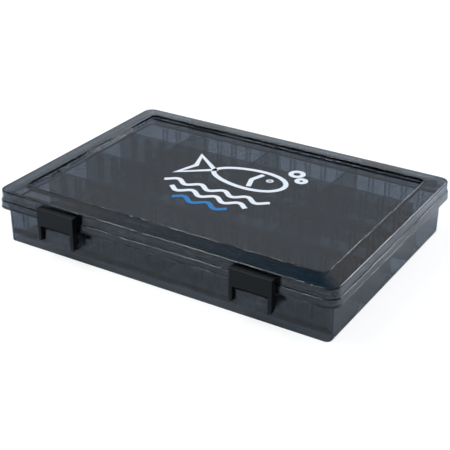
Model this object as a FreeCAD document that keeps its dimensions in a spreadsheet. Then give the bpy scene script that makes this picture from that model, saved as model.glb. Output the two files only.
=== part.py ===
import FreeCAD, Part

import math
import os
import re

import Sketcher

# Clear compartment case: a tub with four long troughs, slotted dividers, a framed
# lid hinged at the back and two latches in front.
# Millimetres. X runs along the front, Y towards the hinge, Z up. The origin is the
# centre of the underside.

# Driving sizes
SIZES = [
    ("lid_length", 358.0, "lid, along the front"),
    ("lid_width", 252.0, "lid, front to back"),
    ("lid_corner", 10.0, "plan radius of the lid's corners"),
    ("lid_sheet", 2.0, "wall and panel of the lid"),
    ("lid_side", 9.7, "height of the lid's side"),
    ("crown_rise", 1.9, "rise of the border from side to ridge"),
    ("border_width", 19.5, "lid edge to the recess"),
    ("ridge_land", 1.6, "width of the ridge"),
    ("ridge_rise", 0.6, "ridge above the border"),
    ("recess_depth", 3.5, "ridge to panel"),
    ("recess_corner", 6.0, "plan radius of the recess"),
    ("recess_round", 0.7, "rounding at the panel's edge"),
    ("lip_depth", 3.0, "locating lip below the lid's side"),
    ("lip_root", 2.6, "locating lip along the inside of the lid's side"),
    ("lip_sheet", 1.6, "thickness of the locating lip"),
    ("lip_gap", 0.6, "locating lip to the rim wall"),
    ("lid_gap", 0.2, "parting gap between lid and rim"),
    ("rim_top", 44.8, "height of the rim"),
    ("rim_depth", 7.8, "height of the rim's face"),
    ("rim_step", 1.2, "rim face beyond the lid's side"),
    ("bead_step", 0.5, "bead at the rim's lower edge, beyond the rim"),
    ("bead_height", 1.4, "height of that bead"),
    ("rim_overhang", 6.4, "rim face beyond the tub wall"),
    ("tub_draft", 0.5, "tub wall leans in by this at the bottom"),
    ("tub_corner", 6.0, "plan radius of the tub's corners"),
    ("tub_sheet", 2.0, "walls of tub and rim"),
    ("cell_corner", 4.0, "plan radius inside the tub"),
    ("floor_sheet", 2.0, "floor of the troughs"),
    ("row_count", 4, "troughs"),
    ("trough_bend", 16.0, "radius between trough floor and wall"),
    ("partition", 2.0, "wall between two troughs"),
    ("partition_gap", 0.4, "wall tops to the lid's panel"),
    ("slot_pitch", 18.0, "divider slot to slot"),
    ("slot_margin", 17.0, "outermost slot to the end wall, at least"),
    ("slot_gap", 2.8, "opening between the two ribs of a slot"),
    ("rib_width", 1.6, "slot rib, along the trough"),
    ("rib_depth", 1.4, "slot rib, out of the wall"),
    ("rib_relief", 3.0, "slot rib below the wall's top"),
    ("divider_sheet", 2.0, "divider thickness"),
    ("divider_gap", 0.3, "divider to trough"),
    ("divider_drop", 2.6, "divider top below the lid's panel"),
    ("divider_chamfer", 2.0, "upper corners of a divider"),
    ("latch_station", 104.0, "latch centre from the middle"),
    ("latch_width", 42.0, "latch, along the front"),
    ("latch_cheek", 3.6, "side wall and leg of a latch"),
    ("latch_sheet", 2.0, "front and top plate of a latch"),
    ("latch_reach", 8.0, "latch front from the lid's side"),
    ("latch_drop", 2.8, "latch top below the lid's shoulder"),
    ("latch_apron", 2.0, "front plate below the rim's underside"),
    ("latch_toe", 10.2, "legs below the pivot"),
    ("toe_depth", 2.4, "leg at its lower end"),
    ("hook_lift", 2.0, "hook's lower side above the rim"),
    ("latch_gap", 0.3, "latch to lid, rim and boss"),
    ("latch_bend", 0.8, "rounding of the latch's front edges"),
    ("pivot_drop", 7.2, "latch pivot below the rim's underside"),
    ("pivot_setback", 0.7, "latch pivot behind the lid's side"),
    ("eye_radius", 2.9, "latch around its pivot"),
    ("boss_skirt", 14.2, "latch boss below the pivot"),
    ("boss_crest", 2.4, "latch boss above the pivot"),
    ("boss_reach", 4.6, "boss front from the lid's side"),
    ("boss_bend", 2.2, "rounding of the boss's upper front edge"),
    ("pin_radius", 1.25, "hinge and latch pins"),
    ("pin_gap", 0.05, "pin to bore"),
    ("pin_inset", 0.6, "pin end inside the outer knuckle or cheek"),
    ("hinge_station", 104.0, "hinge centre from the middle"),
    ("hinge_setback", 5.0, "hinge axis behind the lid's side"),
    ("hinge_rise", 1.0, "hinge axis above the rim"),
    ("knuckle_radius", 3.2, "hinge knuckles"),
    ("lid_knuckle", 18.0, "middle knuckle, on the lid"),
    ("base_knuckle", 12.0, "outer knuckles, on the rim"),
    ("knuckle_gap", 0.4, "knuckle to knuckle"),
    ("edge_round", 0.9, "rounding of the rim's upper edge"),
    ("bead_round", 0.4, "rounding of the rim bead"),
    ("ridge_round", 0.55, "rounding of the ridge"),
    ("shoulder_round", 1.2, "rounding of the lid's upper outer edge"),
    ("lid_foot_round", 0.3, "rounding of the lid's lower outer edge"),
    ("foot_round", 0.8, "rounding of the tub's lower outer edge"),
]
SIZE_NAMES = {alias for alias, size, note in SIZES}

# Where dividers stand in each trough, in slot pitches from the middle
DIVIDERS = (("left", -5.5), ("middle", -0.5), ("right", 4.5))
# Tools reach this far past what they cut
PAST = "1"
# Share of a radius along each axis at 45 degrees
DIAGONAL = "sqrt(0.5)"
# Lengths and volumes closer than this are the same
NEAR = 1e-4

# Plan half sizes
LID_X = "(lid_length / 2)"
LID_Y = "(lid_width / 2)"
RIM_X = f"({LID_X} + rim_step)"
RIM_Y = f"({LID_Y} + rim_step)"
BEAD_X = f"({RIM_X} + bead_step)"
BEAD_Y = f"({RIM_Y} + bead_step)"
TUB_X = f"({RIM_X} - rim_overhang)"
TUB_Y = f"({RIM_Y} - rim_overhang)"
CELL_X = f"({TUB_X} - tub_draft - tub_sheet)"
CELL_Y = f"({TUB_Y} - tub_draft - tub_sheet)"
RECESS_X = f"({LID_X} - border_width)"
RECESS_Y = f"({LID_Y} - border_width)"

# Heights
RIM_UNDERSIDE = "(rim_top - rim_depth)"
SHELF_TOP = f"({RIM_UNDERSIDE} + tub_sheet)"
BEAD_TOP = f"({RIM_UNDERSIDE} + bead_height)"
LID_BOTTOM = "(rim_top + lid_gap)"
SHOULDER = f"({LID_BOTTOM} + lid_side)"
CROWN_TOP = f"({SHOULDER} + crown_rise)"
RIDGE_TOP = f"({CROWN_TOP} + ridge_rise)"
PANEL_TOP = f"({RIDGE_TOP} - recess_depth)"
PANEL_UNDERSIDE = f"({PANEL_TOP} - lid_sheet)"
PARTITION_TOP = f"({PANEL_UNDERSIDE} - partition_gap)"
DIVIDER_TOP = f"({PANEL_UNDERSIDE} - divider_drop)"
BEND_TOP = "(floor_sheet + trough_bend)"
OUTER_BEND = "(trough_bend + floor_sheet)"
VAULT_REACH = "(partition / 2 + trough_bend)"
VAULT_APEX = f"({BEND_TOP} - sqrt(pow({OUTER_BEND}; 2) - pow({VAULT_REACH}; 2)))"
LATCH_TOP = f"({SHOULDER} - latch_drop)"
APRON = f"({RIM_UNDERSIDE} - latch_apron)"
PIVOT_Z = f"({RIM_UNDERSIDE} - pivot_drop)"
TOE = f"({PIVOT_Z} - latch_toe)"
BOSS_LOW = f"({PIVOT_Z} - boss_skirt)"
BOSS_HIGH = f"({PIVOT_Z} + boss_crest)"
HINGE_Z = "(rim_top + hinge_rise)"

# Rows of troughs
TROUGH_WIDTH = f"((2 * {CELL_Y} - (row_count - 1) * partition) / row_count)"
ROW_PITCH = f"({TROUGH_WIDTH} + partition)"
FIRST_ROW = f"(-(row_count - 1) / 2 * {ROW_PITCH})"
FIRST_WALL = f"(-(row_count - 2) / 2 * {ROW_PITCH})"
SLOTS_EACH_SIDE = f"floor(({CELL_X} - slot_margin) / slot_pitch + 0.5)"
FIRST_SLOT = f"((0.5 - {SLOTS_EACH_SIDE}) * slot_pitch)"

# Axes
HINGE_Y = f"({LID_Y} + hinge_setback)"
PIVOT_Y = f"(-{LID_Y} + pivot_setback)"
BORE = "(pin_radius + pin_gap)"

doc = FreeCAD.newDocument("CompartmentCase")
sheet = doc.addObject("Spreadsheet::Sheet", "Sizes")
for row, (alias, size, note) in enumerate(SIZES, start=1):
    sheet.set(f"A{row}", note)
    sheet.set(f"B{row}", str(size))
    sheet.setAlias(f"B{row}", alias)
doc.recompute()


def linked(formula):
    """The formula with every size name pointing at its cell."""
    return re.sub(
        r"[a-z_]+",
        lambda word: "Sizes." + word.group() if word.group() in SIZE_NAMES else word.group(),
        formula,
    )


def number(formula):
    return float(sheet.evalExpression(linked(formula)))


def bind(thing, path, formula):
    thing.setExpression(path, linked(formula))


# Sketch outlines

def place_point(sketch, geometry, end, u, v):
    """Hold one end of a line or arc at the formulas u, v."""
    for kind, formula in (("DistanceX", u), ("DistanceY", v)):
        rule = Sketcher.Constraint(kind, -1, 1, geometry, end, number(formula))
        index = sketch.addConstraint(rule)
        bind(sketch, f"Constraints[{index}]", formula)


def arc_between(start, end, radius, turn):
    """The short arc from start to end; turn is 1 to the left and -1 to the right."""
    chord = end - start
    lift = math.sqrt(max(radius ** 2 - (chord.Length / 2) ** 2, 0))
    left = FreeCAD.Vector(-chord.y, chord.x, 0).normalize()
    centre = (start + end) / 2 + left * lift * turn
    first, last = (start, end) if turn > 0 else (end, start)
    first_angle = math.atan2(first.y - centre.y, first.x - centre.x)
    last_angle = math.atan2(last.y - centre.y, last.x - centre.x)
    circle = Part.Circle(centre, FreeCAD.Vector(0, 0, 1), radius)
    return Part.ArcOfCircle(circle, first_angle, last_angle)


def add_outline(sketch, corners):
    """A closed outline. A corner is (u, v), or (u, v, radius, turn) where an arc leaves it."""
    points = [FreeCAD.Vector(number(corner[0]), number(corner[1]), 0) for corner in corners]
    starts = []
    ends = []
    for index, corner in enumerate(corners):
        start = points[index]
        end = points[(index + 1) % len(points)]
        if len(corner) == 2:
            geometry = sketch.addGeometry(Part.LineSegment(start, end))
            starts.append((geometry, 1))
            ends.append((geometry, 2))
            continue
        radius, turn = corner[2], corner[3]
        geometry = sketch.addGeometry(arc_between(start, end, number(radius), turn))
        starts.append((geometry, 1 if turn > 0 else 2))
        ends.append((geometry, 2 if turn > 0 else 1))
        index = sketch.addConstraint(Sketcher.Constraint("Radius", geometry, number(radius)))
        bind(sketch, f"Constraints[{index}]", radius)
    for index, corner in enumerate(corners):
        before = ends[index - 1]
        after = starts[index]
        sketch.addConstraint(Sketcher.Constraint("Coincident", *before, *after))
        place_point(sketch, *after, corner[0], corner[1])


def add_circle(sketch, u, v, radius):
    centre = FreeCAD.Vector(number(u), number(v), 0)
    circle = Part.Circle(centre, FreeCAD.Vector(0, 0, 1), number(radius))
    geometry = sketch.addGeometry(circle)
    place_point(sketch, geometry, 3, u, v)
    index = sketch.addConstraint(Sketcher.Constraint("Radius", geometry, number(radius)))
    bind(sketch, f"Constraints[{index}]", radius)


def rounded_rectangle(half_x, half_y, radius):
    """Corners of a rectangle about the origin, with arcs of one radius."""
    inner_x = f"({half_x} - {radius})"
    inner_y = f"({half_y} - {radius})"
    return [
        (f"-{inner_x}", f"-{half_y}"),
        (inner_x, f"-{half_y}", radius, 1),
        (half_x, f"-{inner_y}"),
        (half_x, inner_y, radius, 1),
        (inner_x, half_y),
        (f"-{inner_x}", half_y, radius, 1),
        (f"-{half_x}", inner_y),
        (f"-{half_x}", f"-{inner_y}", radius, 1),
    ]


def rectangle(low_u, high_u, low_v, high_v):
    return [(low_u, low_v), (high_u, low_v), (high_u, high_v), (low_u, high_v)]


# Features

def new_body(label):
    body = doc.addObject("PartDesign::Body", label)
    body.Label = label
    return body


def new_sketch(body, name, role, offset="0"):
    """An empty sketch on one of the body's planes, moved along its normal."""
    plane = [item for item in body.Origin.OriginFeatures if item.Role == role][0]
    sketch = body.newObject("Sketcher::SketchObject", name)
    sketch.AttachmentSupport = (plane, [""])
    sketch.MapMode = "FlatFace"
    bind(sketch, "AttachmentOffset.Base.z", offset)
    return sketch


def outline_sketch(body, name, role, offset, *outlines):
    sketch = new_sketch(body, name, role, offset)
    for corners in outlines:
        add_outline(sketch, corners)
    return sketch


def circle_sketch(body, name, role, offset, *circles):
    sketch = new_sketch(body, name, role, offset)
    for u, v, radius in circles:
        add_circle(sketch, u, v, radius)
    return sketch


def extrude(body, kind, name, sketch, length, side="One side", flipped=False):
    feature = body.newObject(kind, name)
    feature.Profile = sketch
    bind(feature, "Length", length)
    feature.SideType = side
    feature.Reversed = flipped
    feature.Refine = False
    doc.recompute()
    return feature


def pad(body, name, sketch, length, side="One side"):
    return extrude(body, "PartDesign::Pad", name, sketch, length, side)


def pocket(body, name, sketch, length, side="One side", flipped=False):
    """A cut; it must take something away."""
    before = body.Shape.Volume
    feature = extrude(body, "PartDesign::Pocket", name, sketch, length, side, flipped)
    if body.Shape.Volume > before - NEAR:
        raise RuntimeError(f"{name} cuts nothing")
    return feature


def loft(body, kind, name, lower, upper):
    feature = body.newObject(kind, name)
    feature.Profile = lower
    feature.Sections = [upper]
    feature.Ruled = True
    doc.recompute()
    return feature


def combine(body, name, kind, tool):
    feature = body.newObject("PartDesign::Boolean", name)
    feature.setObjects([tool])
    feature.Type = kind
    feature.Refine = False
    doc.recompute()
    return feature


def repeat(body, name, originals, role, pitch, count):
    """Copies in a straight row along one of the body's axes."""
    axis = [item for item in body.Origin.OriginFeatures if item.Role == role][0]
    feature = body.newObject("PartDesign::LinearPattern", name)
    feature.Originals = originals
    feature.Direction = (axis, [""])
    bind(feature, "Length", f"{pitch} * ({count} - 1)")
    bind(feature, "Occurrences", count)
    feature.Refine = False
    body.Tip = feature
    doc.recompute()
    return feature


def round_edges(body, name, radius, wanted):
    """Fillet every edge of the body's tip that the test picks."""
    base = body.Tip
    picked = [
        f"Edge{index}"
        for index, edge in enumerate(base.Shape.Edges, start=1)
        if wanted(edge)
    ]
    if not picked:
        raise RuntimeError(f"{name} finds no edge")
    feature = body.newObject("PartDesign::Fillet", name)
    feature.Base = (base, picked)
    bind(feature, "Radius", radius)
    doc.recompute()
    return feature


def lies_at(formula):
    """A test for edges that lie flat at one height."""
    height = number(formula)
    return lambda edge: max(abs(edge.BoundBox.ZMin - height), abs(edge.BoundBox.ZMax - height)) < NEAR


# The troughs' hollows

def make_cores():
    """What fills the troughs; the tub is cut with it."""
    body = new_body("trough_cores")
    low = f"({FIRST_ROW} - {TROUGH_WIDTH} / 2)"
    high = f"({FIRST_ROW} + {TROUGH_WIDTH} / 2)"
    top = f"({PARTITION_TOP} + {PAST})"
    section = [
        (low, top),
        (low, BEND_TOP, "trough_bend", 1),
        (f"({low} + trough_bend)", "floor_sheet"),
        (f"({high} - trough_bend)", "floor_sheet", "trough_bend", 1),
        (high, BEND_TOP),
        (high, top),
    ]
    sketch = outline_sketch(body, "core_section", "YZ_Plane", "0", section)
    first = pad(body, "core", sketch, f"2 * {CELL_X}", "Symmetric")
    repeat(body, "cores", [first], "Y_Axis", ROW_PITCH, "row_count")
    combine(body, "cores_in_plan", "Common", make_plan_limit("core_limit"))
    return body


def make_plan_limit(label):
    """The inside of the tub in plan, from under its floor to over its walls."""
    body = new_body(label)
    plan = rounded_rectangle(CELL_X, CELL_Y, "cell_corner")
    sketch = outline_sketch(body, label + "_plan", "XY_Plane", f"-2 * {PAST}", plan)
    pad(body, label + "_prism", sketch, f"({PARTITION_TOP} + 4 * {PAST})")
    return body


def make_hollows():
    """What lies between the round undersides of the troughs and the walls."""
    body = new_body("underside_hollows")
    left = f"({FIRST_WALL} - {VAULT_REACH})"
    right = f"({FIRST_WALL} + {VAULT_REACH})"
    vault = [
        (left, f"-{PAST}"),
        (right, f"-{PAST}"),
        (right, "0", OUTER_BEND, -1),
        (FIRST_WALL, VAULT_APEX, OUTER_BEND, -1),
        (left, "0"),
    ]
    sketch = outline_sketch(body, "vault_section", "YZ_Plane", "0", vault)
    first = pad(body, "vault", sketch, f"2 * {CELL_X}", "Symmetric")
    repeat(body, "vaults", [first], "Y_Axis", ROW_PITCH, "(row_count - 1)")
    skirt_apex = f"({BEND_TOP} - sqrt(pow({OUTER_BEND}; 2) - pow(trough_bend; 2)))"
    for side, name in ((-1, "front"), (1, "rear")):
        inner = f"({side} * ({CELL_Y} - trough_bend))"
        outer = f"({side} * {CELL_Y})"
        skirt = [
            (inner, f"-{PAST}"),
            (outer, f"-{PAST}"),
            (outer, skirt_apex, OUTER_BEND, -side),
            (inner, "0"),
        ]
        sketch = outline_sketch(body, f"{name}_skirt_section", "YZ_Plane", "0", skirt)
        pad(body, f"{name}_skirt", sketch, f"2 * {CELL_X}", "Symmetric")
    combine(body, "hollows_in_plan", "Common", make_plan_limit("hollow_limit"))
    return body


# Base case

def add_tub(body):
    """The outer form: a drafted tub, an overhanging rim and the block for the long walls."""
    foot = rounded_rectangle(f"({TUB_X} - tub_draft)", f"({TUB_Y} - tub_draft)", "(tub_corner - tub_draft)")
    head = rounded_rectangle(TUB_X, TUB_Y, "tub_corner")
    rim = rounded_rectangle(RIM_X, RIM_Y, "(lid_corner + rim_step)")
    lower = outline_sketch(body, "tub_foot", "XY_Plane", "0", foot)
    upper = outline_sketch(body, "tub_head", "XY_Plane", SHELF_TOP, head)
    loft(body, "PartDesign::AdditiveLoft", "tub", lower, upper)
    sketch = outline_sketch(body, "rim_plan", "XY_Plane", RIM_UNDERSIDE, rim)
    pad(body, "rim", sketch, "rim_depth")
    round_edges(body, "rim_top_edge", "edge_round", lies_at("rim_top"))
    bead = rounded_rectangle(BEAD_X, BEAD_Y, "(lid_corner + rim_step + bead_step)")
    sketch = outline_sketch(body, "bead_plan", "XY_Plane", RIM_UNDERSIDE, bead)
    pad(body, "bead", sketch, "bead_height")
    round_edges(body, "bead_edges", "bead_round", bounds_bead)
    round_edges(body, "foot_edge", "foot_round", lies_at("0"))
    sketch = outline_sketch(body, "long_walls_plan", "XY_Plane", RIM_UNDERSIDE, long_walls_plan())
    pad(body, "long_walls", sketch, f"({PARTITION_TOP} - {RIM_UNDERSIDE})")


def bounds_bead(edge):
    """The outer edges of the bead at the rim's lower edge."""
    box = edge.BoundBox
    beyond_x = max(-box.XMin, box.XMax) > number(RIM_X) + NEAR
    beyond_y = max(-box.YMin, box.YMax) > number(RIM_Y) + NEAR
    return (beyond_x or beyond_y) and (lies_at(RIM_UNDERSIDE)(edge) or lies_at(BEAD_TOP)(edge))


def long_walls_plan():
    """The block that the troughs leave as long walls above the shelf, short of the tub's ends."""
    end = f"({CELL_X} - cell_corner)"
    face = f"({CELL_Y} + tub_sheet)"
    return rectangle(f"-{end}", end, f"-{face}", face)


def add_rim_channel(body):
    """The space between the rim and the long walls, above the shelf."""
    plan = rounded_rectangle(
        f"({RIM_X} - tub_sheet)", f"({RIM_Y} - tub_sheet)", "(lid_corner + rim_step - tub_sheet)"
    )
    sketch = outline_sketch(body, "channel_plan", "XY_Plane", SHELF_TOP, plan, long_walls_plan())
    pocket(body, "channel", sketch, f"({PARTITION_TOP} - {SHELF_TOP} + {PAST})", flipped=True)


def wall_places():
    """The Y formula of each wall between two troughs."""
    return [f"({FIRST_WALL} + {index} * {ROW_PITCH})" for index in range(round(number("row_count")) - 1)]


def make_slot_ribs():
    """Pairs of upright ribs for both faces of every long wall."""
    body = new_body("slot_rib_rows")
    pair = [f"({FIRST_SLOT} + {side} * (slot_gap + rib_width) / 2)" for side in (-1, 1)]
    outlines = []
    for x in pair:
        left = f"({x} - rib_width / 2)"
        right = f"({x} + rib_width / 2)"
        for place in wall_places():
            front = f"({place} - partition / 2 - rib_depth)"
            back = f"({place} + partition / 2 + rib_depth)"
            outlines.append(rectangle(left, right, front, back))
        outlines.append(rectangle(left, right, f"({CELL_Y} - rib_depth)", f"({CELL_Y} + tub_sheet / 2)"))
        outlines.append(rectangle(left, right, f"(-{CELL_Y} - tub_sheet / 2)", f"(-{CELL_Y} + rib_depth)"))
    sketch = outline_sketch(body, "rib_plan", "XY_Plane", BEND_TOP, *outlines)
    ribs = pad(body, "ribs", sketch, f"({PARTITION_TOP} - rib_relief - {BEND_TOP})")
    repeat(body, "slot_ribs", [ribs], "X_Axis", "slot_pitch", f"(2 * {SLOTS_EACH_SIDE})")
    return body


def add_latch_boss(body, side, name):
    """A hooded boss that carries one latch's pin between its side walls."""
    place = f"({side} * latch_station)"
    width = "(latch_width - 2 * latch_cheek - 2 * latch_gap)"
    root = f"(-{CELL_Y} - tub_sheet / 2)"
    front = f"(-{LID_Y} - boss_reach)"
    outer = [
        (root, BOSS_LOW),
        (root, BOSS_HIGH),
        (f"({front} + boss_bend)", BOSS_HIGH, "boss_bend", 1),
        (front, f"({BOSS_HIGH} - boss_bend)"),
        (front, BOSS_LOW),
    ]
    sketch = outline_sketch(body, name + "_boss_section", "YZ_Plane", place, outer)
    pad(body, name + "_boss", sketch, width, "Symmetric")
    inner = rectangle(
        f"({front} + tub_sheet)", f"(-{TUB_Y} - latch_gap)",
        f"({BOSS_LOW} - {PAST})", f"({BOSS_HIGH} - tub_sheet)",
    )
    sketch = outline_sketch(body, name + "_boss_hollow_section", "YZ_Plane", place, inner)
    pocket(body, name + "_boss_hollow", sketch, f"({width} - 2 * tub_sheet)", "Symmetric")
    bore = circle_sketch(body, name + "_pivot_bore_section", "YZ_Plane", place, (PIVOT_Y, PIVOT_Z, BORE))
    pocket(body, name + "_pivot_bore", bore, "latch_width", "Symmetric")


def add_base_knuckles(body, side, name):
    """Two knuckles on the rim, outside the lid's knuckle."""
    root = f"({RIM_Y} - tub_sheet / 2)"
    low = f"({HINGE_Z} - knuckle_radius)"
    high = f"({HINGE_Z} + knuckle_radius)"
    near = f"({HINGE_Y} - knuckle_radius)"
    far = f"({HINGE_Y} + knuckle_radius)"
    outline = [
        (root, SHELF_TOP),
        (HINGE_Y, low, "knuckle_radius", 1),
        (far, HINGE_Z, "knuckle_radius", 1),
        (HINGE_Y, high, "knuckle_radius", 1),
        (near, HINGE_Z),
        (near, "(rim_top - tub_sheet / 2)"),
        (root, "(rim_top - tub_sheet / 2)"),
    ]
    step = "((lid_knuckle + base_knuckle) / 2 + knuckle_gap)"
    for offset, hand in ((-1, "left"), (1, "right")):
        place = f"({side} * hinge_station + {offset} * {step})"
        sketch = outline_sketch(body, f"{name}_{hand}_knuckle_section", "YZ_Plane", place, outline)
        pad(body, f"{name}_{hand}_knuckle", sketch, "base_knuckle", "Symmetric")


def make_base():
    body = new_body("base_case")
    add_tub(body)
    add_rim_channel(body)
    combine(body, "troughs", "Cut", make_cores())
    combine(body, "undersides", "Cut", make_hollows())
    for side, name in ((-1, "left"), (1, "right")):
        add_latch_boss(body, side, name)
        add_base_knuckles(body, side, name)
    bore = circle_sketch(body, "hinge_bore_section", "YZ_Plane", "0", (HINGE_Y, HINGE_Z, BORE))
    pocket(body, "hinge_bore", bore, "lid_length", "Symmetric")
    combine(body, "slots", "Fuse", make_slot_ribs())
    return body


# Lid

def make_lid():
    body = new_body("lid")
    add_lid_shell(body)
    add_lid_panel(body)
    add_locating_lip(body)
    for side, name in ((-1, "left"), (1, "right")):
        add_lid_knuckle(body, side, name)
    bore = circle_sketch(body, "lid_bore_section", "YZ_Plane", "0", (HINGE_Y, HINGE_Z, BORE))
    pocket(body, "lid_bore", bore, "lid_length", "Symmetric")
    return body


def add_lid_shell(body):
    """The side, and the border that rises to a ridge round the recess."""
    side_plan = rounded_rectangle(LID_X, LID_Y, "lid_corner")
    ridge_x = f"({RECESS_X} + ridge_land)"
    ridge_y = f"({RECESS_Y} + ridge_land)"
    ridge_plan = rounded_rectangle(ridge_x, ridge_y, "(recess_corner + ridge_land)")
    inner_plan = rounded_rectangle(
        f"({LID_X} - lid_sheet)", f"({LID_Y} - lid_sheet)", "(lid_corner - lid_sheet)"
    )
    inner_top = f"({SHOULDER} - lid_sheet)"
    sketch = outline_sketch(body, "side_plan", "XY_Plane", LID_BOTTOM, side_plan)
    pad(body, "side", sketch, "lid_side")
    round_edges(body, "lid_foot_edge", "lid_foot_round", lies_at(LID_BOTTOM))
    lower = outline_sketch(body, "shoulder_plan", "XY_Plane", SHOULDER, side_plan)
    upper = outline_sketch(body, "ridge_plan", "XY_Plane", CROWN_TOP, ridge_plan)
    loft(body, "PartDesign::AdditiveLoft", "crown", lower, upper)
    round_edges(body, "shoulder_edge", "shoulder_round", lies_at(SHOULDER))
    sketch = outline_sketch(body, "inside_plan", "XY_Plane", LID_BOTTOM, inner_plan)
    pocket(body, "inside", sketch, "(lid_side - lid_sheet)", flipped=True)
    lower = outline_sketch(body, "inner_shoulder_plan", "XY_Plane", inner_top, inner_plan)
    upper = outline_sketch(body, "inner_ridge_plan", "XY_Plane", f"({CROWN_TOP} - lid_sheet)", ridge_plan)
    loft(body, "PartDesign::SubtractiveLoft", "inner_crown", lower, upper)


def add_lid_panel(body):
    """The ridge on the border, and the sunk panel inside it."""
    opening = rounded_rectangle(RECESS_X, RECESS_Y, "recess_corner")
    pan = rounded_rectangle(
        f"({RECESS_X} + lid_sheet)", f"({RECESS_Y} + lid_sheet)", "(recess_corner + lid_sheet)"
    )
    ridge = rounded_rectangle(
        f"({RECESS_X} + ridge_land)", f"({RECESS_Y} + ridge_land)", "(recess_corner + ridge_land)"
    )
    sketch = outline_sketch(body, "pan_plan", "XY_Plane", PANEL_UNDERSIDE, pan)
    pad(body, "pan", sketch, f"({CROWN_TOP} - lid_sheet / 2 - {PANEL_UNDERSIDE})")
    sketch = outline_sketch(body, "ridge_outline", "XY_Plane", PANEL_UNDERSIDE, ridge)
    pad(body, "ridge", sketch, f"({RIDGE_TOP} - {PANEL_UNDERSIDE})")
    sketch = outline_sketch(body, "recess_plan", "XY_Plane", RIDGE_TOP, opening)
    pocket(body, "recess", sketch, "recess_depth")
    round_edges(body, "panel_edge", "recess_round", lies_at(PANEL_TOP))
    round_edges(body, "ridge_edges", "ridge_round", lies_at(RIDGE_TOP))


def add_locating_lip(body):
    """A thin wall that reaches down inside the rim."""
    outer_x = f"({RIM_X} - tub_sheet - lip_gap)"
    outer_y = f"({RIM_Y} - tub_sheet - lip_gap)"
    outer_corner = "(lid_corner + rim_step - tub_sheet - lip_gap)"
    outer = rounded_rectangle(outer_x, outer_y, outer_corner)
    inner = rounded_rectangle(
        f"({outer_x} - lip_sheet)", f"({outer_y} - lip_sheet)", f"({outer_corner} - lip_sheet)"
    )
    sketch = outline_sketch(body, "lip_plan", "XY_Plane", f"({LID_BOTTOM} - lip_depth)", outer, inner)
    pad(body, "lip", sketch, "(lip_depth + lip_root)")


def add_lid_knuckle(body, side, name):
    root = f"({LID_Y} - lid_sheet / 2)"
    low = f"({HINGE_Z} - knuckle_radius)"
    high = f"({HINGE_Z} + knuckle_radius)"
    outline = [
        (root, high),
        (root, HINGE_Z),
        (f"({HINGE_Y} - knuckle_radius)", HINGE_Z, "knuckle_radius", 1),
        (HINGE_Y, low, "knuckle_radius", 1),
        (f"({HINGE_Y} + knuckle_radius)", HINGE_Z, "knuckle_radius", 1),
        (HINGE_Y, high),
    ]
    place = f"({side} * hinge_station)"
    sketch = outline_sketch(body, name + "_lid_knuckle_section", "YZ_Plane", place, outline)
    pad(body, name + "_lid_knuckle", sketch, "lid_knuckle", "Symmetric")


# Latches

def make_latch(side, name):
    """A stirrup: front plate, top plate that hooks back to the lid, two legs with eyes."""
    body = new_body(name + "_latch")
    place = f"({side} * latch_station)"
    front = f"(-{LID_Y} - latch_reach)"
    lid_face = f"(-{LID_Y} - latch_gap)"
    rim_face = f"(-{BEAD_Y} - latch_gap)"
    hook_low = "(rim_top + hook_lift)"
    eye_top = f"({PIVOT_Z} + eye_radius)"
    eye_back = f"({PIVOT_Y} + {DIAGONAL} * eye_radius)"
    side_view = [
        (front, LATCH_TOP),
        (front, TOE),
        (f"({front} + toe_depth)", TOE),
        (eye_back, f"({PIVOT_Z} - {DIAGONAL} * eye_radius)", "eye_radius", 1),
        (eye_back, f"({PIVOT_Z} + {DIAGONAL} * eye_radius)", "eye_radius", 1),
        (PIVOT_Y, eye_top),
        (rim_face, f"({eye_top} + eye_radius / 2)"),
        (rim_face, hook_low),
        (lid_face, hook_low),
        (lid_face, LATCH_TOP),
    ]
    sketch = outline_sketch(body, name + "_side_view", "YZ_Plane", place, side_view)
    pad(body, name + "_blank", sketch, "latch_width", "Symmetric")
    front_y = number(front)
    toe_z = number(TOE)

    def is_front_edge(edge):
        box = edge.BoundBox
        return box.YLength < NEAR and abs(box.YMin - front_y) < NEAR and box.ZMax > toe_z + NEAR

    round_edges(body, name + "_front_edges", "latch_bend", is_front_edge)
    back = f"({PIVOT_Y} + eye_radius + {PAST})"
    inside = [
        (f"({front} + latch_sheet)", f"({LATCH_TOP} - latch_sheet)"),
        (f"({front} + latch_sheet)", APRON),
        (f"({front} - {PAST})", APRON),
        (f"({front} - {PAST})", f"({TOE} - {PAST})"),
        (back, f"({TOE} - {PAST})"),
        (back, f"({LATCH_TOP} - latch_sheet)"),
    ]
    sketch = outline_sketch(body, name + "_inside", "YZ_Plane", place, inside)
    pocket(body, name + "_hollow", sketch, "(latch_width - 2 * latch_cheek)", "Symmetric")
    bore = circle_sketch(body, name + "_eye_bore", "YZ_Plane", place, (PIVOT_Y, PIVOT_Z, BORE))
    pocket(body, name + "_eyes", bore, f"(latch_width + 2 * {PAST})", "Symmetric")
    return body


# Loose pieces

def make_pin(label, place, y, z, length):
    """A plain steel pin along X, centred on a formula."""
    body = new_body(label)
    sketch = circle_sketch(body, label + "_section", "YZ_Plane", place, (y, z, "pin_radius"))
    pad(body, label + "_rod", sketch, length, "Symmetric")
    return body


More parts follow.
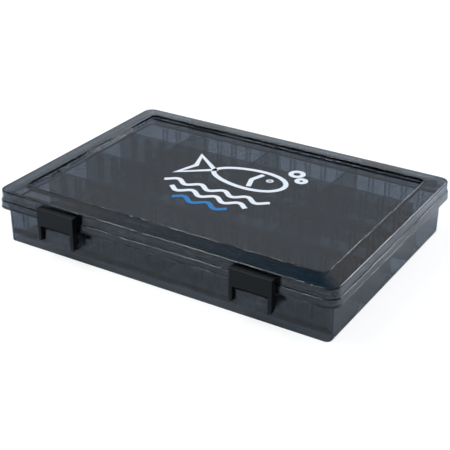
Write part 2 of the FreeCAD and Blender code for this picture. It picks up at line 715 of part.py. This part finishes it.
def make_divider(row, name, steps):
    """A plate with the trough's section, standing in one pair of slots."""
    body = new_body(f"divider_row{row + 1}_{name}")
    centre = f"({FIRST_ROW} + {row} * {ROW_PITCH})"
    low = f"({centre} - {TROUGH_WIDTH} / 2 + divider_gap)"
    high = f"({centre} + {TROUGH_WIDTH} / 2 - divider_gap)"
    bend = "(trough_bend - divider_gap)"
    foot = "(floor_sheet + divider_gap)"
    outline = [
        (low, f"({DIVIDER_TOP} - divider_chamfer)"),
        (low, BEND_TOP, bend, 1),
        (f"({low} + {bend})", foot),
        (f"({high} - {bend})", foot, bend, 1),
        (high, BEND_TOP),
        (high, f"({DIVIDER_TOP} - divider_chamfer)"),
        (f"({high} - divider_chamfer)", DIVIDER_TOP),
        (f"({low} + divider_chamfer)", DIVIDER_TOP),
    ]
    place = f"({steps} * slot_pitch)"
    sketch = outline_sketch(body, body.Label + "_outline", "YZ_Plane", place, outline)
    pad(body, body.Label + "_plate", sketch, "divider_sheet", "Symmetric")
    return body


def make_all():
    pieces = [make_base(), make_lid()]
    hinge_pin = "(lid_knuckle + 2 * base_knuckle + 2 * knuckle_gap - 2 * pin_inset)"
    for side, name in ((-1, "left"), (1, "right")):
        pieces.append(make_latch(side, name))
        pieces.append(make_pin(
            name + "_latch_pin", f"({side} * latch_station)", PIVOT_Y, PIVOT_Z,
            "(latch_width - 2 * pin_inset)",
        ))
        pieces.append(make_pin(
            name + "_hinge_pin", f"({side} * hinge_station)", HINGE_Y, HINGE_Z, hinge_pin,
        ))
    for row in range(round(number("row_count"))):
        for name, steps in DIVIDERS:
            pieces.append(make_divider(row, name, steps))
    return pieces


def check(pieces):
    """Stop if any feature failed or any piece isn't one sound solid."""
    failed = [
        item.Label for item in doc.Objects if "Invalid" in item.State or "Error" in item.State
    ]
    if failed:
        raise RuntimeError("failed features: " + ", ".join(failed))
    for piece in pieces:
        shape = piece.Shape
        if shape.isNull() or not shape.isValid() or len(shape.Solids) != 1:
            raise RuntimeError(f"{piece.Label} isn't one sound solid")


def write(pieces):
    os.makedirs("parts", exist_ok=True)
    for piece in pieces:
        piece.Shape.exportStep(f"parts/{piece.Label}.step")
        print(piece.Label, "volume", round(piece.Shape.Volume))


all_pieces = make_all()
doc.recompute()
check(all_pieces)
write(all_pieces)
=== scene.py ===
"""Looks of a see-through tackle case on a white floor, seen from the front right and above.

Metres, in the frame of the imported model: X along the front, Y towards the hinges, Z up.
"""

import math

import bpy
from mathutils import Matrix, Vector


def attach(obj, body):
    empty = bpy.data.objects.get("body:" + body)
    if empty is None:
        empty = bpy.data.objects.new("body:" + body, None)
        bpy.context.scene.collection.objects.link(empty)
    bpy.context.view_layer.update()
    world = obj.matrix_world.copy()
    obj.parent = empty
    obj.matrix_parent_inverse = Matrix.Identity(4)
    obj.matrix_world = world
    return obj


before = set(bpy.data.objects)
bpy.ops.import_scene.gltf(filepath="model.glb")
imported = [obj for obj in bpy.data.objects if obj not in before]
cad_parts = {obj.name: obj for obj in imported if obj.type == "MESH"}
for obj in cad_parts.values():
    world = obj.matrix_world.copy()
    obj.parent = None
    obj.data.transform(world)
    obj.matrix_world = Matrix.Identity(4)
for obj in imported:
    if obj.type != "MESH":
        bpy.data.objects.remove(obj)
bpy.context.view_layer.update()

MM = 0.001

# Camera, solved from the corners of the lid and the tub in the photograph
CAMERA_PLACE = Vector((0.49349, -0.81292, 0.50290))
CAMERA_FORWARD = Vector((-0.46216, 0.75829, -0.45979))
CAMERA_ROLL = math.radians(0.298)
CAMERA_LENS = 87.257
SENSOR_WIDTH = 36.0
CLIP_NEAR = 0.05
CLIP_FAR = 50.0

# Smoke-tinted clear plastic: what a metre of it absorbs in red, green and blue, and its haze and waves.
# The density is any number over those three. Every CELLS value here and below is noise cells per metre.
PLASTIC_IOR = 1.49
ABSORBED = (554.0, 510.0, 458.0)
ABSORPTION_DENSITY = 650.0
LID_ROUGHNESS = (0.015, 0.05)
BASE_ROUGHNESS = (0.02, 0.06)
DIVIDER_ROUGHNESS = (0.03, 0.08)
HAZE_CELLS = 45.0
WAVE_CELLS = 16.0
WAVE_DEPTH = 0.015 * MM

# Black plastic of the latches
LATCH_IOR = 1.5
LATCH_SPECULAR = 0.17
LATCH_COLOURS = ((0.0018, 0.0018, 0.0022), (0.0036, 0.0036, 0.0042))
LATCH_COLOUR_CELLS = 120.0
LATCH_ROUGHNESS = (0.28, 0.4)
LATCH_HAZE_CELLS = 300.0
LATCH_GRAIN_CELLS = 2600.0
LATCH_GRAIN_DEPTH = 0.02 * MM

# Steel of the pins
PIN_COLOURS = ((0.42, 0.42, 0.43), (0.6, 0.6, 0.61))
PIN_COLOUR_CELLS = 900.0
PIN_ROUGHNESS = (0.22, 0.4)
PIN_HAZE_CELLS = 1500.0

# Screen-printed ink, whose cover varies between two shares of its colour
WHITE_INK = (0.79, 0.8, 0.82)
BLUE_INK = (0.004, 0.16, 0.41)
INK_COVER = (0.9, 1.04)
INK_COVER_CELLS = 700.0
INK_ROUGHNESS = (0.3, 0.45)
INK_HAZE_CELLS = 250.0
INK_GRAIN_CELLS = 3000.0
INK_GRAIN_DEPTH = 0.01 * MM

# Place of the print on the lid's panel
LID_PANEL = 53.7 * MM
PRINT_CENTRE = Vector((-0.0025, 0.002))
PRINT_LIFT = 0.03 * MM
PRINT_THICKNESS = 0.05 * MM

# Strokes of the print, in millimetres from its centre: a fish, bubbles as (x, y, radius), and waves as
# (left end, right end, level)
STROKE = 5.0
FISH_NOSE = 52.0
FISH_ROOT = -26.0
FISH_DEPTH = 24.0
FISH_HEIGHT = 22.0
FISH_ROOT_SHARE = 0.72
FISH_EYE = (33.0, 28.0, STROKE / 4)
FISH_GILL = ((21.0, 37.0), (16.0, 22.0), (21.0, 7.0))
FISH_TAIL = ((-26.0, 22.0), (-56.0, 45.0), (-48.0, 22.0), (-56.0, -1.0), (-26.0, 22.0))
BUBBLES = ((59.0, 44.0, 4.2), (48.0, 56.0, 6.0))
WAVE_LENGTH = 26.0
WAVE_HEIGHT = 3.8
WHITE_WAVES = ((-57.0, 57.0, -18.0), (-43.0, 43.0, -33.0))
BLUE_WAVES = ((-29.0, 29.0, -48.0),)
CURVE_STEPS = 48
MITRE_LEAST = 0.5

# Floor: half its side, how the camera sees it, how all other rays see it, and a painted glow of the
# paint's colour that stands in for the light seeping out of the case's walls onto it
FLOOR_REACH = 6.0
FLOOR_SEEN_PAINT = (0.2, 0.2, 0.2)
FLOOR_SEEN_GLOW = (1.0, 1.0, 1.0)
FLOOR_SEEN_STRENGTH = 0.87
FLOOR_PAINT = (0.87, 0.90, 0.94)
FLOOR_PAINTED_SEEP_GLOW = 0.07

# The room's light against the sine of its height above the horizon: pale low down, grey walls that grow
# paler again towards the top, and a dark teal ceiling that is lighter overhead
ROOM = (
    (0.0, (0.87, 0.95, 1.04)),
    (0.2, (0.6, 0.64, 0.67)),
    (0.26, (0.5, 0.53, 0.54)),
    (0.33, (0.4, 0.44, 0.48)),
    (0.4, (0.42, 0.46, 0.51)),
    (0.46, (0.53, 0.58, 0.64)),
    (0.556, (0.62, 0.63, 0.66)),
    (0.61, (0.4, 0.47, 0.56)),
    (0.66, (0.08, 0.22, 0.35)),
    (0.8, (0.04, 0.13, 0.21)),
    (1.0, (0.28, 0.34, 0.4)),
)
BACKDROP = (0.8, 0.8, 0.8)

# Lamps, all turned to the origin: name, place, width, height and watts
LAMP_TINT = (0.93, 0.96, 1.0)
LAMPS = (
    ("left_softbox", (-0.8, -0.5, 1.6), 1.2, 0.5, 24.0),
    ("rear_softbox", (0.45, 1.4, 1.0), 1.0, 0.6, 16.0),
)

# Bounces that light needs to get through several walls and out again
CLEAR_BOUNCES = 24
GLOSS_BOUNCES = 8


def add_object(name, data):
    thing = bpy.data.objects.new(name, data)
    bpy.context.scene.collection.objects.link(thing)
    return thing


# Shader nodes

def new_material(name):
    material = bpy.data.materials.new(name)
    material.use_nodes = True
    tree = material.node_tree
    tree.nodes.clear()
    output = tree.nodes.new("ShaderNodeOutputMaterial")
    return material, tree, output


def new_skin(name):
    """A material whose surface is one principled shader."""
    material, tree, output = new_material(name)
    skin = tree.nodes.new("ShaderNodeBsdfPrincipled")
    tree.links.new(skin.outputs["BSDF"], output.inputs["Surface"])
    return material, tree, skin, output


def noise(tree, cells, detail=2.0, roughness=0.5):
    """Noise in the object's own coordinates, with its coarsest cells counted per metre."""
    place = tree.nodes.new("ShaderNodeTexCoord")
    node = tree.nodes.new("ShaderNodeTexNoise")
    node.inputs["Scale"].default_value = cells
    node.inputs["Detail"].default_value = detail
    node.inputs["Roughness"].default_value = roughness
    tree.links.new(place.outputs["Object"], node.inputs["Vector"])
    return node.outputs["Fac"]


def vary_colour(tree, skin, pattern, colours):
    """The skin's colour follows the pattern from the first colour to the second."""
    ramp = tree.nodes.new("ShaderNodeValToRGB")
    for stop, colour in zip(ramp.color_ramp.elements, colours):
        stop.color = [*colour, 1]
    tree.links.new(pattern, ramp.inputs["Fac"])
    tree.links.new(ramp.outputs["Color"], skin.inputs["Base Color"])


def vary_roughness(tree, skin, pattern, limits):
    """The skin's roughness follows the pattern between two limits."""
    node = tree.nodes.new("ShaderNodeMapRange")
    node.inputs["To Min"].default_value, node.inputs["To Max"].default_value = limits
    tree.links.new(pattern, node.inputs["Value"])
    tree.links.new(node.outputs["Result"], skin.inputs["Roughness"])


def raise_grain(tree, skin, pattern, depth):
    """The skin's face rises and falls with the pattern, by a depth in metres."""
    node = tree.nodes.new("ShaderNodeBump")
    node.inputs["Strength"].default_value = 1.0
    node.inputs["Distance"].default_value = depth
    tree.links.new(pattern, node.inputs["Height"])
    tree.links.new(node.outputs["Normal"], skin.inputs["Normal"])


# Materials

def smoke_plastic(name, roughness_limits):
    """Tinted clear plastic: colourless gloss outside, and light lost inside the walls."""
    material, tree, skin, output = new_skin(name)
    skin.inputs["Base Color"].default_value = (1, 1, 1, 1)
    skin.inputs["IOR"].default_value = PLASTIC_IOR
    skin.inputs["Transmission Weight"].default_value = 1.0
    vary_roughness(tree, skin, noise(tree, HAZE_CELLS, detail=3.0), roughness_limits)
    raise_grain(tree, skin, noise(tree, WAVE_CELLS, detail=1.0), WAVE_DEPTH)
    inside = tree.nodes.new("ShaderNodeVolumeAbsorption")
    inside.inputs["Density"].default_value = ABSORPTION_DENSITY
    inside.inputs["Color"].default_value = [1 - part / ABSORPTION_DENSITY for part in ABSORBED] + [1]
    tree.links.new(inside.outputs["Volume"], output.inputs["Volume"])
    return material


def black_plastic():
    """Fine-grained black plastic with a low sheen."""
    material, tree, skin, _ = new_skin("latch_black")
    skin.inputs["IOR"].default_value = LATCH_IOR
    skin.inputs["Specular IOR Level"].default_value = LATCH_SPECULAR
    vary_colour(tree, skin, noise(tree, LATCH_COLOUR_CELLS, detail=3.0), LATCH_COLOURS)
    vary_roughness(tree, skin, noise(tree, LATCH_HAZE_CELLS, detail=3.0), LATCH_ROUGHNESS)
    raise_grain(tree, skin, noise(tree, LATCH_GRAIN_CELLS), LATCH_GRAIN_DEPTH)
    return material


def pin_steel():
    """Bright drawn wire."""
    material, tree, skin, _ = new_skin("pin_steel")
    skin.inputs["Metallic"].default_value = 1.0
    vary_colour(tree, skin, noise(tree, PIN_COLOUR_CELLS, detail=3.0), PIN_COLOURS)
    vary_roughness(tree, skin, noise(tree, PIN_HAZE_CELLS), PIN_ROUGHNESS)
    return material


def ink(name, colour):
    """Screen-printed ink: a little uneven in cover, with a soft gloss."""
    material, tree, skin, _ = new_skin(name)
    covers = [[cover * part for part in colour] for cover in INK_COVER]
    vary_colour(tree, skin, noise(tree, INK_COVER_CELLS, detail=4.0, roughness=0.6), covers)
    vary_roughness(tree, skin, noise(tree, INK_HAZE_CELLS), INK_ROUGHNESS)
    raise_grain(tree, skin, noise(tree, INK_GRAIN_CELLS), INK_GRAIN_DEPTH)
    return material


def dress_nodes():
    lid_plastic = smoke_plastic("smoke_plastic_lid", LID_ROUGHNESS)
    base_plastic = smoke_plastic("smoke_plastic_base", BASE_ROUGHNESS)
    divider_plastic = smoke_plastic("smoke_plastic_divider", DIVIDER_ROUGHNESS)
    black = black_plastic()
    steel = pin_steel()
    for name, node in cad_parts.items():
        if name == "lid":
            material = lid_plastic
        elif name == "base_case":
            material = base_plastic
        elif name.startswith("divider"):
            material = divider_plastic
        elif name.endswith("pin"):
            material = steel
        else:
            material = black
        node.data.materials.clear()
        node.data.materials.append(material)


# Print

def stroke_strip(path, width):
    """A flat ribbon of one width along a path, as points and four-sided faces."""
    points = [Vector(point) for point in path]
    closed = path[0] == path[-1]
    before_first = points[-2] if closed else points[0]
    after_last = points[1] if closed else points[-1]
    row = [before_first, *points, after_last]
    corners = []
    for before, point, after in zip(row, points, row[2:]):
        along = ((point - before).normalized() + (after - point).normalized()).normalized()
        leading = (after - point if after != point else point - before).normalized()
        side = Vector((-along.y, along.x))
        lean = max(side.dot(Vector((-leading.y, leading.x))), MITRE_LEAST)
        corners += [point + side * width / 2 / lean, point - side * width / 2 / lean]
    faces = [(k, k + 1, k + 3, k + 2) for k in range(0, len(corners) - 2, 2)]
    return corners, faces


def ring_path(x, y, radius):
    turns = [math.tau * step / CURVE_STEPS for step in range(CURVE_STEPS)]
    path = [(x + radius * math.cos(turn), y + radius * math.sin(turn)) for turn in turns]
    return path + path[:1]


def wave_path(left, right, level):
    path = []
    for step in range(CURVE_STEPS + 1):
        x = left + (right - left) * step / CURVE_STEPS
        path.append((x, level + WAVE_HEIGHT * math.sin(math.tau * x / WAVE_LENGTH)))
    return path


def fish_path():
    """The fish's body, from the tail's root over the back to the nose and home again.

    It is an oval that is slimmer towards the root, by the root's share.
    """
    path = []
    for step in range(CURVE_STEPS):
        turn = math.tau * step / CURVE_STEPS
        share = (1 - math.cos(turn)) / 2
        x = FISH_ROOT + (FISH_NOSE - FISH_ROOT) * share
        depth = FISH_DEPTH * (FISH_ROOT_SHARE + (1 - FISH_ROOT_SHARE) * share)
        path.append((x, FISH_HEIGHT + depth * math.sin(turn)))
    return path + path[:1]


def add_print(name, paths, material):
    """Strokes of ink as one thin sheet on the lid's panel."""
    points = []
    faces = []
    for path in paths:
        corners, strip = stroke_strip(path, STROKE)
        faces += [[len(points) + index for index in face] for face in strip]
        points += corners
    top = LID_PANEL + PRINT_LIFT + PRINT_THICKNESS
    mesh = bpy.data.meshes.new(name)
    mesh.from_pydata([(*(PRINT_CENTRE + point * MM), top) for point in points], [], faces)
    mesh.materials.append(material)
    piece = add_object(name, mesh)
    coat = piece.modifiers.new("thickness", "SOLIDIFY")
    coat.thickness = PRINT_THICKNESS
    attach(piece, "lid")


def make_print():
    """A fish with two bubbles over two white waves and a blue one.

    The fish's eye is a ring so small that its stroke fills it.
    """
    fish = [fish_path(), ring_path(*FISH_EYE), FISH_GILL, FISH_TAIL]
    bubbles = [ring_path(*bubble) for bubble in BUBBLES]
    waves = [wave_path(*wave) for wave in WHITE_WAVES]
    add_print("lid_print_white", fish + bubbles + waves, ink("print_white", WHITE_INK))
    add_print("lid_print_blue", [wave_path(*wave) for wave in BLUE_WAVES], ink("print_blue", BLUE_INK))


# Floor, world and lamps

def split_by_ray(tree, output, seen, unseen):
    """The camera sees one shader straight, and every other ray meets the other."""
    path = tree.nodes.new("ShaderNodeLightPath")
    mix = tree.nodes.new("ShaderNodeMixShader")
    tree.links.new(path.outputs["Is Camera Ray"], mix.inputs["Fac"])
    tree.links.new(unseen, mix.inputs[1])
    tree.links.new(seen, mix.inputs[2])
    tree.links.new(mix.outputs["Shader"], output.inputs["Surface"])


def glowing_paint(tree, paint_colour, glow_colour, strength):
    paint = tree.nodes.new("ShaderNodeBsdfDiffuse")
    paint.inputs["Color"].default_value = [*paint_colour, 1]
    glow = tree.nodes.new("ShaderNodeEmission")
    glow.inputs["Color"].default_value = [*glow_colour, 1]
    glow.inputs["Strength"].default_value = strength
    both = tree.nodes.new("ShaderNodeAddShader")
    tree.links.new(paint.outputs["BSDF"], both.inputs[0])
    tree.links.new(glow.outputs["Emission"], both.inputs[1])
    return both.outputs["Shader"]


def make_floor():
    """A white floor: nearly even to the camera, and lit paint to all other rays, with a faint painted
    glow that stands in for light seeping through the case's walls.
    """
    mesh = bpy.data.meshes.new("floor")
    sides = ((-1, -1), (1, -1), (1, 1), (-1, 1))
    mesh.from_pydata([(x * FLOOR_REACH, y * FLOOR_REACH, 0) for x, y in sides], [], [(0, 1, 2, 3)])
    floor = add_object("floor", mesh)
    material, tree, output = new_material("floor_white")
    seen = glowing_paint(tree, FLOOR_SEEN_PAINT, FLOOR_SEEN_GLOW, FLOOR_SEEN_STRENGTH)
    # To every ray but the camera's, the floor's paint carries a painted glow that stands in for light
    # seeping through the case
    unseen = glowing_paint(tree, FLOOR_PAINT, FLOOR_PAINT, FLOOR_PAINTED_SEEP_GLOW)
    split_by_ray(tree, output, seen, unseen)
    mesh.materials.append(material)


def make_world():
    """A room whose light depends on the height alone, behind an even pale grey for the camera."""
    world = bpy.data.worlds.new("studio")
    bpy.context.scene.world = world
    world.use_nodes = True
    tree = world.node_tree
    tree.nodes.clear()
    output = tree.nodes.new("ShaderNodeOutputWorld")
    place = tree.nodes.new("ShaderNodeTexCoord")
    parts = tree.nodes.new("ShaderNodeSeparateXYZ")
    tree.links.new(place.outputs["Generated"], parts.inputs["Vector"])
    ramp = tree.nodes.new("ShaderNodeValToRGB")
    stops = ramp.color_ramp.elements
    stops[0].position = ROOM[0][0]
    stops[1].position = ROOM[-1][0]
    for height, _ in ROOM[1:-1]:
        stops.new(height)
    for stop, (_, colour) in zip(stops, ROOM):
        stop.color = [*colour, 1]
    tree.links.new(parts.outputs["Z"], ramp.inputs["Fac"])
    room = tree.nodes.new("ShaderNodeBackground")
    tree.links.new(ramp.outputs["Color"], room.inputs["Color"])
    backdrop = tree.nodes.new("ShaderNodeBackground")
    backdrop.inputs["Color"].default_value = [*BACKDROP, 1]
    split_by_ray(tree, output, backdrop.outputs["Background"], room.outputs["Background"])


def add_lamp(name, place, width, height, watts):
    data = bpy.data.lights.new(name, "AREA")
    data.shape = "RECTANGLE"
    data.size = width
    data.size_y = height
    data.energy = watts
    data.color = LAMP_TINT
    lamp = add_object(name, data)
    lamp.location = place
    lamp.rotation_mode = "QUATERNION"
    lamp.rotation_quaternion = (-Vector(place)).to_track_quat("-Z", "Y")


def make_camera():
    data = bpy.data.cameras.new("camera")
    data.lens = CAMERA_LENS
    data.sensor_width = SENSOR_WIDTH
    data.clip_start = CLIP_NEAR
    data.clip_end = CLIP_FAR
    right = CAMERA_FORWARD.cross(Vector((0, 0, 1))).normalized()
    up = right.cross(CAMERA_FORWARD).normalized()
    turned_right = right * math.cos(CAMERA_ROLL) + up * math.sin(CAMERA_ROLL)
    turned_up = turned_right.cross(CAMERA_FORWARD).normalized()
    turn = Matrix((turned_right, turned_up, -CAMERA_FORWARD)).transposed()
    camera = add_object("camera", data)
    camera.matrix_world = Matrix.Translation(CAMERA_PLACE) @ turn.to_4x4()
    bpy.context.scene.camera = camera


def set_light_paths():
    cycles = bpy.context.scene.cycles
    cycles.max_bounces = CLEAR_BOUNCES
    cycles.transmission_bounces = CLEAR_BOUNCES
    cycles.glossy_bounces = GLOSS_BOUNCES
    cycles.volume_bounces = 0


make_camera()
dress_nodes()
make_floor()
make_world()
for lamp_values in LAMPS:
    add_lamp(*lamp_values)
make_print()
set_light_paths()
bpy.context.scene.view_settings.view_transform = "Standard"
